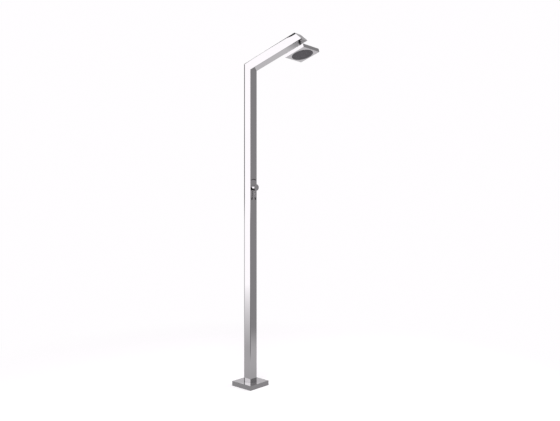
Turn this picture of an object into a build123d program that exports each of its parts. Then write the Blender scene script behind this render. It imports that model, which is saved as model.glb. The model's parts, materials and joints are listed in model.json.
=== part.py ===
from build123d import *
import math
import os

# Outdoor shower: square column on a covered foot, sloping arm, mixer with lever, square head on a ball joint.
# Millimetres. Origin on the column's axis at floor level, +Z up, arm, knob and head towards -Y.

# ---- driving dimensions ----
# column and arm, one square tube mitred at the bend
tube_side = 60.0
tube_wall = 2.0
tube_corner = 3.0
bend_height = 2085.0        # floor to the point where the two tube axes meet
arm_slope = 15.0            # degrees above the horizontal
arm_length = 427.0          # along the arm's axis, from the bend to the top edge of the end
arm_end_angle = 35.0        # degrees between the end plate and a square cut
end_plate_thickness = 2.0

# foot
plate_thickness = 10.0
plate_hole_spacing = 120.0
plate_hole_radius = 5.5
plate_opening = 52.0
plate_corner = 6.0
opening_corner = 3.0
foot_weld = 4.0
weld_land = 0.4             # flat left on top of the weld bead
cover_side = 169.0
cover_height = 30.0
cover_wall = 1.2
cover_plate_gap = 3.3       # between the foot plate's edge and the cover's wall
cover_column_gap = 0.5
cover_corner = 1.0          # rounding of the upright edges
cover_rim = 0.9             # rounding of the top edges
cover_inner_corner = 0.25

# mixer in the column
mixer_height = 1297.0
mixer_neck_wall = 1.5       # of the neck round the cartridge
mixer_neck_length = 7.0     # in front of the column's face
mixer_shoulder = 3.0        # step from the neck to the body behind the column's front wall
mixer_body_depth = 38.0     # behind the column's front wall
mixer_block_width = 46.0
mixer_block_depth = 24.0
mixer_block_top = 5.0       # below the knob's axis
mixer_block_height = 34.0
mixer_spigot_radius = 8.3
mixer_spigot_length = 12.0
mixer_bore_radius = 5.0
gasket_thickness = 1.0
ring_nut_width = 2.5        # outside the mixer's neck
ring_nut_thickness = 4.0
spanner_slots = 4
spanner_slot_width = 4.0
spanner_slot_depth = 1.5
cartridge_radius = 12.5
cartridge_length = 21.0
clamp_nut_thickness = 8.0
clamp_nut_recess = 1.0      # clamp nut's front behind the end of the mixer's neck
pin_hole_radius = 1.2
pin_hole_depth = 3.0
stem_radius = 5.0
stem_flange_radius = 9.0
stem_flange_thickness = 3.0
stem_spline_radius = 4.5
stem_reach = 22.0           # in front of the column's face
ceramic_radius = 10.0       # of the turning disc
ceramic_thickness = 3.5
port_radius = 2.4
port_offset = 5.5
port_angle = 30.0           # of the two inlet ports below the horizontal, in degrees

# knob and lever
knob_radius = 21.0
knob_reach = 27.0           # in front of the column's face
knob_gap = 0.8              # between the knob and the column's face
knob_recess_gap = 0.9       # round the ring nut
knob_floor_gap = 0.8        # in front of the mixer's neck
knob_edge = 1.0
lever_radius = 4.0
lever_tip_drop = 81.0       # below the knob's axis
lever_root_reach = 9.0      # lever axis in front of the column's face, at the knob's side
lever_tip_reach = 17.0
lever_seat_depth = 1.0      # of the lever's end in the knob's side
lever_thread_radius = 2.5
lever_thread_length = 3.2
lever_tip_flat = 0.2        # radius of the flat left on the domed tip
lever_cap_length = 16.0
lever_cap_wall = 1.2
lever_cap_floor = 3.0       # from the end of the bar to the tip
grub_radius = 2.0
grub_socket_radius = 1.0
grub_length = 9.0
grub_socket_depth = 3.0
grub_reach = 18.5

# hoses and their ends; a hose end is a washer, a tail, a nut and a crimped ferrule
supply_nut_gap = 0.8        # between the two swivel nuts at the foot
supply_radius = 6.0
supply_wall = 2.0
supply_nut_wall = 1.65      # from the thread to a flat
supply_ferrule_radius = 7.5
swivel_nut_wall = 2.3
swivel_nut_height = 14.0    # floor to the mouth of the nut
swivel_thread_radius = 9.3
swivel_thread_depth = 12.0
riser_radius = 7.0
riser_wall = 2.0
riser_nut_wall = 2.65
riser_ferrule_radius = 8.5
riser_back_offset = 6.0     # behind the column's axis
riser_bend_radius = 72.0
spigot_thread_depth = 10.0  # of the mixer's and elbow's spigots in their nuts
washer_thickness = 1.5
tail_flange_thickness = 1.5
tail_wall = 1.0
tail_length = 20.0
nut_back = 4.0
nut_bevel = 1.0
nut_relief = 0.4            # of the nut's room for the washer, outside its thread
ferrule_length = 18.0
face_gap = 0.3              # between end faces that don't press on each other

# outlet elbow in the arm, placed by the neck
neck_inset = 39.5           # neck's axis behind the tip of the arm's lower wall
elbow_radius = 14.0
elbow_height = 26.0
elbow_bevel = 2.0
elbow_axis_height = 17.0    # inlet axis above the outside of the arm's lower wall
elbow_socket_depth = 13.0
elbow_spigot_length = 16.0
stud_thread_radius = 8.3
arm_hole_gap = 0.3

# neck and ball joint
seal_thickness = 0.6
seal_inset = 1.0            # of the seal's edge from the rosette's edge
rosette_radius = 12.0
rosette_thickness = 1.5
rosette_edge = 0.5
neck_radius = 6.0
neck_bore_radius = 4.0
key_flats = 10.0            # hexagon for the key, in the underside of the ball
key_depth = 6.0
ball_radius = 13.0
ball_drop = 31.0            # arm's lower wall to the ball's centre
upper_seat_thickness = 1.95
upper_seat_top_angle = 66.0     # polar angles from the neck's axis, in degrees
upper_seat_low_angle = 99.0
lower_seat_height = 7.8
lower_seat_floor = 1.0      # seat's base below the ball's lowest point
ball_crown = 4.0            # height of the ball above the underside of the collar's lip
collar_lip_thickness = 2.0
collar_lip_gap = 0.32       # between the lip and the ball
collar_flare = 1.4          # bevel round the lip's hole
collar_wall = 3.45
collar_length = 27.5
collar_flat_depth = 1.5
collar_edge = 1.2
filter_thickness = 1.5
filter_hole_radius = 0.7
filter_hole_pitch = 2.3
filter_rows = 5

# head
head_gap = 60.0             # arm's lower wall to the top of the head
head_side = 149.0
head_thickness = 22.0
head_wall = 1.5
head_edge = 0.8
boss_wall = 2.45            # round the lower seat
boss_step = 2.0             # of the boss below the collar
boss_foot_width = 4.0       # cone at the boss's foot, outside the step
boss_foot_height = 4.0
boss_bore_radius = 9.3
boss_throat_radius = 6.5
face_plate_thickness = 1.5
face_plate_gap = 0.1
nozzle_disc_border = 9.5    # from the edge of the nozzle disc to the side of the head
nozzle_disc_gap = 0.25
nozzle_flange_width = 6.0   # outside the nozzle disc
nozzle_flange_thickness = 3.0
mat_gap = 1.0               # inside the water chamber's wall
mat_thickness = 1.5
chamber_height = 10.0
chamber_wall = 2.0
chamber_side_wall = 4.0
chamber_spigot_gap = 0.1
chamber_spigot_length = 9.5
ring_inset = 2.0            # middle of the chamber's O-ring inside the edge of the nozzle disc
ring_land = 1.0             # of the chamber's wall outside its O-ring
o_ring_section = 1.0
o_ring_squeeze = 0.65       # height of the squeezed O-ring, as a share of its own height
spigot_groove = 0.8         # half the width of the spigot's groove
spigot_groove_drop = 2.5    # its middle below the top of the spigot
screw_inset = 2.5           # of the screws from the edge of the flange
screw_radius = 1.25
screw_head_radius = 2.4
screw_head_height = 1.6
screw_floor = 1.0           # left under the screw holes
cross_slot_length = 3.0
cross_slot_width = 0.6
cross_slot_depth = 0.7
screw_count = 8

# nozzles, in rings round a middle one
nozzle_rings = 5
nozzle_margin = 5.0         # from the outermost ring to the edge of the mat
nozzles_per_ring = 6        # the first ring's count, and what each further ring adds
nozzle_root_radius = 1.7
nozzle_tip_radius = 1.1
nozzle_proud = 1.2
nozzle_bore_radius = 0.45

# fits
slip = 0.05                 # radial clearance of threads, seats and turning pieces
play = 0.2                  # radial clearance of what lies loose in a nut

# ---- places worked out from the dimensions ----
half = tube_side / 2
inside = half - tube_wall
face_y = -half
neck_reach = arm_length + tube_side * math.tan(math.radians(arm_end_angle)) - neck_inset
arm_frame = Pos(0, 0, bend_height) * Rot(-arm_slope, 0, 0)
neck_frame = arm_frame * Pos(0, -neck_reach, -half)
ball_frame = neck_frame * Pos(0, 0, -ball_drop)
head_frame = neck_frame * Pos(0, 0, -head_gap)
mixer_frame = Pos(0, face_y, mixer_height) * Rot(90, 0, 0)
mitre_angle = (90 - arm_slope) / 2
column_foot = plate_thickness
plate_side = cover_side - 2 * (cover_wall + cover_plate_gap)


def cylinder_up(radius, low, high):
    """Cylinder along local Z from low to high."""
    return Pos(0, 0, (low + high) / 2) * Cylinder(radius, high - low)


def ring_up(outer, inner, low, high):
    """Ring along local Z from low to high."""
    return cylinder_up(outer, low, high) - cylinder_up(inner, low - 1, high + 1)


def hex_up(flats, low, high):
    """Hexagonal prism along local Z, with flats facing X."""
    outline = RegularPolygon(flats / math.sqrt(3), 6, rotation=30)
    return extrude(Pos(0, 0, low) * outline, high - low)


def hex_nut(flats, low, high, bevel):
    """Hexagonal prism with its corners turned down at both ends."""
    corner = flats / math.sqrt(3)
    cone = chamfer(cylinder_up(corner, low, high).edges().filter_by(GeomType.CIRCLE), bevel)
    return hex_up(flats, low, high) & cone


def square_bar(side, corner, low, high):
    """Square bar with rounded corners along local Z."""
    return extrude(Pos(0, 0, low) * RectangleRounded(side, side, corner), high - low)


def square_tube(low, high):
    """Length of the column's square tube along local Z."""
    bore = square_bar(2 * inside, tube_corner - tube_wall, low - 1, high + 1)
    return square_bar(tube_side, tube_corner, low, high) - bore


def along_arm(shape):
    """Turn a shape built along +Z so that it runs out along the arm's axis."""
    return arm_frame * Rot(90, 0, 0) * shape


def mitre_cutter(size):
    """Half space beyond the bend's mitre plane, on the arm's side."""
    lean = Pos(0, 0, bend_height) * Rot(mitre_angle, 0, 0)
    return lean * Pos(0, 0, size / 2) * Box(size, size, size)


def end_cutter(inset):
    """Half space beyond the arm's end plane, moved back by inset."""
    size = 8 * tube_side
    hinge = Pos(0, -arm_length, half)
    lean = hinge * Rot(90 - arm_end_angle, 0, 0)
    return arm_frame * lean * Pos(0, 0, size / 2 - inset) * Box(size, size, size)


def write(name, shape):
    """Write one node."""
    export_step(shape, f"parts/{name}.step")


# ---- column, arm and foot ----
def column_tube():
    """Upright tube, mitred at the bend, with the mixer's hole and the weld bead at its foot."""
    tube = square_tube(column_foot, bend_height + tube_side)
    bead_side = tube_side + 2 * foot_weld
    bead = square_bar(bead_side, tube_corner + foot_weld, column_foot, column_foot + foot_weld)
    bead = chamfer(bead.faces().sort_by(Axis.Z)[-1].outer_wire().edges(), foot_weld - weld_land)
    bead -= square_bar(tube_side - tube_wall, tube_corner, 0, tube_side)
    hole = mixer_frame * cylinder_up(mixer_neck_radius + slip, -tube_wall - 1, 1)
    return tube + bead - mitre_cutter(8 * tube_side) - hole


def arm_tube():
    """Sloping tube, mitred at the bend, cut at an angle at its end, with the neck's hole below."""
    tube = along_arm(square_tube(-tube_side, arm_length + tube_side))
    tube &= mitre_cutter(4 * arm_length)
    hole = neck_frame * cylinder_up(stud_thread_radius + arm_hole_gap, -1, tube_wall + 1)
    return tube - end_cutter(end_plate_thickness) - hole


def arm_end_plate():
    """Flat plate welded on the arm's slanting end and ground flush."""
    bar = along_arm(square_bar(tube_side, tube_corner, arm_length - tube_side, arm_length + tube_side))
    return (bar & end_cutter(end_plate_thickness)) - end_cutter(0)


def foot_plate():
    """Plate under the column with four anchor holes and the pipe opening."""
    plate = square_bar(plate_side, plate_corner, 0, plate_thickness)
    plate -= square_bar(plate_opening, opening_corner, -1, plate_thickness + 1)
    holes = GridLocations(plate_hole_spacing, plate_hole_spacing, 2, 2)
    return plate - holes * cylinder_up(plate_hole_radius, -1, plate_thickness + 1)


def base_cover():
    """Thin box cover, open below, with a square hole for the column."""
    box = square_bar(cover_side, cover_corner, 0, cover_height)
    box = fillet(box.faces().sort_by(Axis.Z)[-1].edges(), cover_rim)
    hollow = cover_side - 2 * cover_wall
    box -= square_bar(hollow, cover_inner_corner, -1, cover_height - cover_wall)
    hole = tube_side + 2 * cover_column_gap
    return box - square_bar(hole, tube_corner + cover_column_gap, 0, cover_height + 1)


def rod(start, end, radius):
    """Cylinder from one point to another."""
    line = Line(start, end)
    return sweep(Plane(line @ 0, z_dir=line % 0) * Circle(radius), path=line)


# ---- mixer, built with local Z out of the column's face and local Y up ----
mixer_neck_radius = cartridge_radius + mixer_neck_wall
mixer_body_radius = mixer_neck_radius + mixer_shoulder
ring_nut_radius = mixer_neck_radius + ring_nut_width
cartridge_front = mixer_neck_length - clamp_nut_recess - clamp_nut_thickness
fixed_disc_front = cartridge_front - cartridge_length
turning_disc_front = fixed_disc_front + ceramic_thickness
chamber_floor = fixed_disc_front - ceramic_thickness
block_top = mixer_height - mixer_block_top
block_low = block_top - mixer_block_height
outlet_turn = mixer_height + mixer_body_radius
outlet_top = outlet_turn + mixer_spigot_length
swivel_nut_flats = 2 * (swivel_thread_radius + swivel_nut_wall)
supply_offset = (swivel_nut_flats + supply_nut_gap) / 2


def port_places():
    """Middles of the two inlet ports and the outlet port on the ceramic discs."""
    return PolarLocations(port_offset, 3, start_angle=-port_angle)


def mixer_body():
    """Brass body: chamber for the cartridge, two inlets below, one outlet above."""
    body = mixer_frame * cylinder_up(mixer_body_radius, -tube_wall - mixer_body_depth, -tube_wall)
    body += mixer_frame * cylinder_up(mixer_neck_radius, -tube_wall - 1, mixer_neck_length)
    block = Box(mixer_block_width, mixer_block_depth, mixer_block_height)
    body += Pos(0, 0, (block_top + block_low) / 2) * block
    body += Pos(0, riser_back_offset) * cylinder_up(mixer_spigot_radius, mixer_height, outlet_top)
    floor_y = face_y - chamber_floor
    turn = (block_low + block_top) / 2
    port_x = port_offset * math.cos(math.radians(port_angle))
    port_z = mixer_height - port_offset * math.sin(math.radians(port_angle))
    for side in (-1, 1):
        inlet = Pos(side * supply_offset)
        body += inlet * cylinder_up(mixer_spigot_radius, block_low - mixer_spigot_length, block_low)
    body -= mixer_frame * cylinder_up(cartridge_radius + slip, chamber_floor, mixer_neck_length + 1)
    for side in (-1, 1):
        inlet = Pos(side * supply_offset)
        body -= inlet * cylinder_up(mixer_bore_radius, block_low - mixer_spigot_length - 1, turn)
        body -= rod((side * supply_offset, 0, turn), (side * port_x, floor_y, port_z), port_radius)
    body -= Pos(0, riser_back_offset) * cylinder_up(mixer_bore_radius, outlet_turn, outlet_top + 1)
    outlet_port = (0, floor_y, mixer_height + port_offset)
    body -= rod((0, riser_back_offset, outlet_turn + port_radius), outlet_port, port_radius)
    return body


def mixer_gasket():
    """Rubber ring between the column's face and the ring nut."""
    return mixer_frame * ring_up(ring_nut_radius, mixer_neck_radius + slip, 0, gasket_thickness)


def mixer_ring_nut():
    """Ring nut that clamps the mixer to the column's front wall, with spanner slots."""
    front = gasket_thickness + ring_nut_thickness
    ring = ring_up(ring_nut_radius, mixer_neck_radius + slip, gasket_thickness, front)
    slot = Box(2 * spanner_slot_depth, spanner_slot_width, ring_nut_thickness)
    ring -= PolarLocations(ring_nut_radius, spanner_slots) * (Pos(0, 0, front) * slot)
    return mixer_frame * ring


def cartridge_body():
    """Shell of the cartridge, with a pocket for the turning disc and a bore for the stem."""
    pocket = turning_disc_front + stem_flange_thickness + 2 * slip
    shell = cylinder_up(cartridge_radius, fixed_disc_front, cartridge_front)
    shell -= cylinder_up(ceramic_radius + slip, fixed_disc_front - 1, pocket)
    shell -= cylinder_up(stem_radius + slip, pocket - 1, cartridge_front + 1)
    return mixer_frame * shell


def fixed_ceramic_disc():
    """Ceramic disc with three ports, on the chamber's floor."""
    disc = cylinder_up(cartridge_radius, chamber_floor, fixed_disc_front)
    disc -= port_places() * cylinder_up(port_radius, chamber_floor - 1, fixed_disc_front + 1)
    return mixer_frame * disc


def turning_ceramic_disc():
    """Ceramic disc with one curved slot, turned by the stem over the fixed disc."""
    disc = cylinder_up(ceramic_radius, fixed_disc_front, turning_disc_front)
    slot_back = fixed_disc_front - 1
    slot = ring_up(port_offset + port_radius, port_offset - port_radius, slot_back, turning_disc_front - 1)
    upper = Box(2 * ceramic_radius, ceramic_radius, 2 * ceramic_thickness)
    slot &= Pos(0, ceramic_radius / 2, fixed_disc_front) * upper
    return mixer_frame * (disc - slot)


def cartridge_stem():
    """Stem from the turning disc out to the knob."""
    stem = cylinder_up(stem_flange_radius, turning_disc_front, turning_disc_front + stem_flange_thickness)
    stem += cylinder_up(stem_radius, turning_disc_front, mixer_neck_length)
    stem += cylinder_up(stem_spline_radius, mixer_neck_length - 1, stem_reach)
    return mixer_frame * stem


def cartridge_clamp_nut():
    """Threaded ring that holds the cartridge in the mixer's neck, with two spanner holes."""
    front = cartridge_front + clamp_nut_thickness
    nut = ring_up(cartridge_radius, stem_radius + play, cartridge_front, front)
    middle = (cartridge_radius + stem_radius) / 2
    nut -= PolarLocations(middle, 2) * cylinder_up(pin_hole_radius, front - pin_hole_depth, front + 1)
    return mixer_frame * nut


# ---- knob and lever, in the mixer's frame ----
lever_lean = math.degrees(math.atan2(lever_tip_reach - lever_root_reach, lever_tip_drop - knob_radius))
lever_length = (lever_tip_drop - knob_radius) / math.cos(math.radians(lever_lean))
lever_frame = mixer_frame * Pos(0, -knob_radius, lever_root_reach) * Rot(90 - lever_lean, 0, 0)
lever_core_radius = lever_radius - lever_cap_wall


def knob():
    """Solid knob, recessed behind over the ring nut, bored for the stem, the lever and the grub screw."""
    body = cylinder_up(knob_radius, knob_gap, knob_reach)
    rims = body.edges().filter_by(GeomType.CIRCLE)
    body = fillet(rims, knob_edge)
    body -= cylinder_up(ring_nut_radius + knob_recess_gap, 0, mixer_neck_length + knob_floor_gap)
    body -= cylinder_up(stem_spline_radius + slip, 0, stem_reach + slip)
    body -= Pos(0, 0, grub_reach) * Rot(90, 0, 0) * cylinder_up(grub_radius + slip, 0, 2 * knob_radius)
    body = mixer_frame * body
    body -= lever_frame * cylinder_up(lever_radius + slip, -lever_seat_depth, knob_radius)
    thread = lever_seat_depth + lever_thread_length
    body -= lever_frame * cylinder_up(lever_thread_radius + slip, -2 * thread, 0)
    return body


def lever():
    """Round lever screwed into the knob's underside, leaning out from the column, thinner inside its cap."""
    bar = cylinder_up(lever_radius, -lever_seat_depth, lever_length - lever_cap_length)
    bar += cylinder_up(lever_core_radius - slip, 0, lever_length - lever_cap_floor)
    bar += cylinder_up(lever_thread_radius, -lever_seat_depth - lever_thread_length, 0)
    return lever_frame * bar


def lever_cap():
    """Rubber cap with a domed tip, pushed over the lever's end."""
    cap = cylinder_up(lever_radius, lever_length - lever_cap_length, lever_length)
    tip = cap.edges().filter_by(GeomType.CIRCLE).sort_by(Axis.Z)[-1]
    cap = fillet(tip, lever_radius - lever_tip_flat)
    cap -= cylinder_up(lever_core_radius, 0, lever_length - lever_cap_floor)
    return lever_frame * cap


def knob_grub_screw():
    """Socket screw that holds the knob on its stem."""
    outer = stem_spline_radius + grub_length
    screw = cylinder_up(grub_radius, stem_spline_radius, outer)
    socket = Pos(0, 0, outer - grub_socket_depth) * RegularPolygon(grub_socket_radius, 6)
    screw -= extrude(socket, 2 * grub_socket_depth)
    return mixer_frame * Pos(0, 0, grub_reach) * Rot(90, 0, 0) * screw


# ---- hoses ----
def hose_end(thread_radius, thread_depth, hose_radius, hose_wall, nut_wall, ferrule_radius):
    """Washer, tail, nut and ferrule; local Z points out of the hose, 0 on the washer's outer face."""
    tail_radius = hose_radius - hose_wall - slip
    bore = tail_radius - tail_wall
    seat = thread_radius - play
    flats = 2 * (thread_radius + nut_wall)
    flange_back = -washer_thickness - tail_flange_thickness
    washer = ring_up(seat, bore, -washer_thickness, 0)
    tail = ring_up(seat, bore, flange_back, -washer_thickness)
    tail += ring_up(tail_radius, bore, flange_back - tail_length, flange_back + slip)
    nut = hex_nut(flats, flange_back - nut_back, thread_depth, nut_bevel)
    nut -= cylinder_up(thread_radius + nut_relief, flange_back, 0)
    nut -= cylinder_up(thread_radius, -slip, thread_depth + 1)
    nut -= cylinder_up(tail_radius + slip, flange_back - nut_back - 1, flange_back + 1)
    back = hose_start()
    ferrule = ring_up(ferrule_radius, hose_radius + slip, back - ferrule_length, back)
    return washer, tail, nut, ferrule


def hose_start():
    """Where the hose itself begins, behind the washer's outer face."""
    return -(washer_thickness + tail_flange_thickness + nut_back + face_gap)


def supply_top(side):
    """Frame of a supply hose's upper end, on the mixer's inlet."""
    return Pos(side * supply_offset, 0, block_low - mixer_spigot_length)


def supply_foot(side):
    """Frame of a supply hose's lower end, at the house pipe."""
    return Pos(side * supply_offset, 0, swivel_nut_height + swivel_thread_depth) * Rot(180, 0, 0)


riser_foot = Pos(0, riser_back_offset, outlet_top) * Rot(180, 0, 0)
elbow_face = elbow_radius + elbow_spigot_length
riser_head = neck_frame * Pos(0, elbow_face, elbow_axis_height) * Rot(90, 0, 0)


def supply_hose(side):
    """Straight braided hose from the mixer down to the foot."""
    top = block_low - mixer_spigot_length + hose_start()
    low = swivel_nut_height + swivel_thread_depth - hose_start()
    return Pos(side * supply_offset) * ring_up(supply_radius, supply_radius - supply_wall, low, top)


def riser_route():
    """Middle line of the riser: up the column, one wide bend, then along the arm."""
    arm_drop = half - elbow_axis_height
    rise = math.radians(arm_slope)
    reach = -(arm_drop * math.sin(rise) + riser_back_offset) / math.cos(rise)
    corner = bend_height + reach * math.sin(rise) - arm_drop * math.cos(rise)
    start = (riser_foot * Pos(0, 0, hose_start())).position
    end = (riser_head * Pos(0, 0, hose_start())).position
    return FilletPolyline(start, (0, riser_back_offset, corner), end, radius=riser_bend_radius)


def riser_hose():
    """Braided hose from the mixer to the elbow in the arm."""
    route = riser_route()
    start = Plane(route @ 0, z_dir=route % 0)
    outer = sweep(start * Circle(riser_radius), path=route)
    return outer - sweep(start * Circle(riser_radius - riser_wall), path=route)


# ---- outlet in the arm and neck, local Z up from the outside of the arm's lower wall ----
stud_top = tube_wall + elbow_socket_depth - filter_thickness - face_gap
thread_low = -seal_thickness - rosette_thickness


def outlet_elbow():
    """Brass elbow inside the arm: hose spigot towards the column, threaded socket below."""
    top = tube_wall + elbow_height
    body = cylinder_up(elbow_radius, tube_wall, top)
    body = chamfer(body.edges().filter_by(GeomType.CIRCLE).sort_by(Axis.Z)[-1], elbow_bevel)
    across = Pos(0, 0, elbow_axis_height) * Rot(-90, 0, 0)
    body += across * cylinder_up(mixer_spigot_radius, 0, elbow_face)
    body -= across * cylinder_up(mixer_bore_radius, 0, elbow_face + 1)
    body -= cylinder_up(stud_thread_radius + slip, 0, tube_wall + elbow_socket_depth)
    body -= cylinder_up(mixer_bore_radius, 0, elbow_axis_height)
    return neck_frame * body


def neck_seal():
    """Rubber washer under the arm."""
    seal = ring_up(rosette_radius - seal_inset, stud_thread_radius + slip, -seal_thickness, 0)
    return neck_frame * seal


def neck_rosette():
    """Thin round lock nut on the stud's thread, which draws the elbow and the seal to the arm."""
    ring = cylinder_up(rosette_radius, thread_low, -seal_thickness)
    ring = fillet(ring.edges().filter_by(GeomType.CIRCLE).sort_by(Axis.Z)[0], rosette_edge)
    return neck_frame * (ring - cylinder_up(stud_thread_radius + slip, thread_low - 1, 0))


def filter_screen():
    """Sieve on top of the ball stud."""
    disc = cylinder_up(stud_thread_radius - slip, stud_top, stud_top + filter_thickness)
    holes = HexLocations(filter_hole_pitch / 2, filter_rows, filter_rows)
    disc -= holes * cylinder_up(filter_hole_radius, stud_top - 1, stud_top + filter_thickness + 1)
    return neck_frame * disc


def ball_stud():
    """Threaded stud with a slim neck and a ball, bored for the water, with a key's hexagon below."""
    stud = cylinder_up(stud_thread_radius, thread_low, stud_top)
    stud += cylinder_up(neck_radius, -ball_drop, thread_low)
    stud += Pos(0, 0, -ball_drop) * Sphere(ball_radius)
    stud -= cylinder_up(neck_bore_radius, -ball_drop - 2 * ball_radius, stud_top + 1)
    ball_low = -ball_drop - ball_radius
    return neck_frame * (stud - hex_up(key_flats, ball_low - 1, ball_low + key_depth))


# ---- ball joint, local Z up from the ball's centre ----
seat_radius = ball_radius + slip
boss_radius = seat_radius + upper_seat_thickness
lower_seat_radius = boss_radius - boss_wall - slip
lower_seat_base = -ball_radius - lower_seat_floor
lower_seat_top = lower_seat_base + lower_seat_height
lip_height = ball_radius - ball_crown
lip_radius = math.sqrt(ball_radius**2 - lip_height**2) + collar_lip_gap
collar_top = lip_height + collar_lip_thickness
collar_low = collar_top - collar_length


def polar(radius, angle):
    """Point on the XZ plane at an angle from the Z axis."""
    turn = math.radians(angle)
    return (radius * math.sin(turn), 0, radius * math.cos(turn))


def upper_ball_seat():
    """Friction ring over the ball's widest part, spherical inside and outside."""
    middle = (upper_seat_top_angle + upper_seat_low_angle) / 2
    angles = (upper_seat_top_angle, middle, upper_seat_low_angle)
    inner = [polar(seat_radius, angle) for angle in angles]
    outer = [polar(boss_radius, angle) for angle in angles]
    outline = [ThreePointArc(*inner), Line(inner[-1], outer[-1])]
    outline += [ThreePointArc(*outer), Line(outer[0], inner[0])]
    return ball_frame * revolve(make_face(outline), Axis.Z)


def lower_ball_seat():
    """Sealing ring in the head's boss, hollowed for the ball's underside."""
    ring = ring_up(lower_seat_radius, boss_throat_radius, lower_seat_base, lower_seat_top)
    return ball_frame * (ring - Sphere(seat_radius))


def collar_nut():
    """Collar that holds the ball and its seats on the head's boss, with two spanner flats."""
    bore = boss_radius + slip
    outer = bore + collar_wall
    nut = cylinder_up(outer, collar_low, collar_top)
    nut = fillet(nut.edges().filter_by(GeomType.CIRCLE), collar_edge)
    nut &= Box(2 * (outer - collar_flat_depth), 2 * outer, 2 * collar_length)
    nut -= Sphere(bore) & cylinder_up(bore, 0, lip_height)
    nut -= cylinder_up(bore, collar_low - 1, 0)
    nut -= cylinder_up(lip_radius, 0, collar_top + 1)
    flare = Cone(lip_radius, lip_radius + collar_flare, collar_flare)
    return ball_frame * (nut - Pos(0, 0, collar_top - collar_flare / 2) * flare)


# ---- head, local Z up from its top face ----
ball_height = head_gap - ball_drop
boss_top = ball_height + lower_seat_top - face_gap
nozzle_disc_radius = head_side / 2 - nozzle_disc_border
nozzle_flange_radius = nozzle_disc_radius + nozzle_flange_width
chamber_ring_radius = nozzle_disc_radius - ring_inset
chamber_radius = chamber_ring_radius + o_ring_section + ring_land
chamber_inner_radius = chamber_radius - chamber_side_wall
mat_radius = chamber_inner_radius - mat_gap
nozzle_pitch = (mat_radius - nozzle_margin) / nozzle_rings
flange_low = -head_thickness + face_plate_thickness
flange_top = flange_low + nozzle_flange_thickness
chamber_roof = flange_top + chamber_height
spigot_top = chamber_roof + chamber_spigot_length
spigot_radius = boss_bore_radius - chamber_spigot_gap
groove_middle = spigot_top - spigot_groove_drop
groove_floor = boss_bore_radius - 2 * o_ring_section * o_ring_squeeze


def head_housing():
    """Square tray, open below, with the boss that carries the collar nut."""
    tray = Pos(0, 0, -head_thickness / 2) * Box(head_side, head_side, head_thickness)
    tray = fillet(tray.edges(), head_edge)
    stem = boss_radius + boss_step
    tray += cylinder_up(boss_radius, -head_wall, boss_top)
    tray += cylinder_up(stem, -head_wall, ball_height + collar_low - face_gap)
    tray += Pos(0, 0, boss_foot_height / 2) * Cone(stem + boss_foot_width, stem, boss_foot_height)
    hollow = head_side - 2 * head_wall
    tray -= Pos(0, 0, -head_thickness / 2 - head_wall) * Box(hollow, hollow, head_thickness)
    tray -= cylinder_up(lower_seat_radius + slip, ball_height + lower_seat_base, boss_top + 1)
    tray -= cylinder_up(boss_throat_radius, 0, boss_top)
    return head_frame * (tray - cylinder_up(boss_bore_radius, -2 * head_wall, spigot_top + 1))


def water_chamber():
    """Round dish over the nozzle plate, with a flange for the screws and an inlet spigot."""
    dish = cylinder_up(nozzle_flange_radius, flange_top, flange_top + chamber_wall)
    dish += cylinder_up(chamber_radius, flange_top, chamber_roof)
    dish += cylinder_up(spigot_radius, chamber_roof - chamber_wall, spigot_top)
    dish -= cylinder_up(chamber_inner_radius, flange_top - 1, chamber_roof - chamber_wall)
    dish -= cylinder_up(boss_throat_radius, flange_top, spigot_top + 1)
    groove_low = groove_middle - spigot_groove
    dish -= ring_up(boss_bore_radius, groove_floor, groove_low, groove_middle + spigot_groove)
    dish -= screw_places() * cylinder_up(screw_radius + slip, flange_top - 1, flange_top + chamber_wall + 1)
    return head_frame * dish


def inlet_o_ring():
    """O-ring between the chamber's spigot and the head's boss."""
    section = (boss_bore_radius - groove_floor) / 2
    return head_frame * Pos(0, 0, groove_middle) * Torus(groove_floor + section, section)


def chamber_o_ring():
    """O-ring between the water chamber and the nozzle plate."""
    ring = Torus(chamber_ring_radius, o_ring_section)
    return head_frame * Pos(0, 0, flange_top - o_ring_section) * ring


def screw_places():
    """Circle of the screws that join the chamber to the nozzle plate."""
    return PolarLocations(nozzle_flange_radius - screw_inset, screw_count)


def chamber_screws():
    """Small round-headed screws through the chamber's flange."""
    seat = flange_top + chamber_wall
    top = seat + screw_head_height
    screw = cylinder_up(screw_radius, flange_low + screw_floor, seat)
    screw += cylinder_up(screw_head_radius, seat, top)
    slot = Box(cross_slot_length, cross_slot_width, 2 * cross_slot_depth)
    screw -= PolarLocations(0, 2, angular_range=180) * (Pos(0, 0, top) * slot)
    return head_frame * Compound(children=screw_places() * screw)


def nozzle_places():
    """Nozzles: one in the middle and evenly filled rings round it."""
    places = [Location((0, 0, 0))]
    for ring in range(1, nozzle_rings + 1):
        places += PolarLocations(ring * nozzle_pitch, ring * nozzles_per_ring)
    return Locations(*places)


def nozzle_plate():
    """Perforated plate that the nozzles come through, with its flange on the face plate."""
    plate = cylinder_up(nozzle_flange_radius, flange_low, flange_top)
    plate += cylinder_up(nozzle_disc_radius, -head_thickness, flange_top)
    holes = Sketch() + nozzle_places() * Circle(nozzle_root_radius + slip)
    plate -= extrude(Pos(0, 0, -head_thickness - 1) * holes, head_thickness)
    floor = flange_top - 2 * o_ring_section
    reach = o_ring_section + slip
    plate -= ring_up(chamber_ring_radius + reach, chamber_ring_radius - reach, floor, flange_top + 1)
    plate -= screw_places() * cylinder_up(screw_radius + slip, flange_low + screw_floor, flange_top + 1)
    return head_frame * plate


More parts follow.
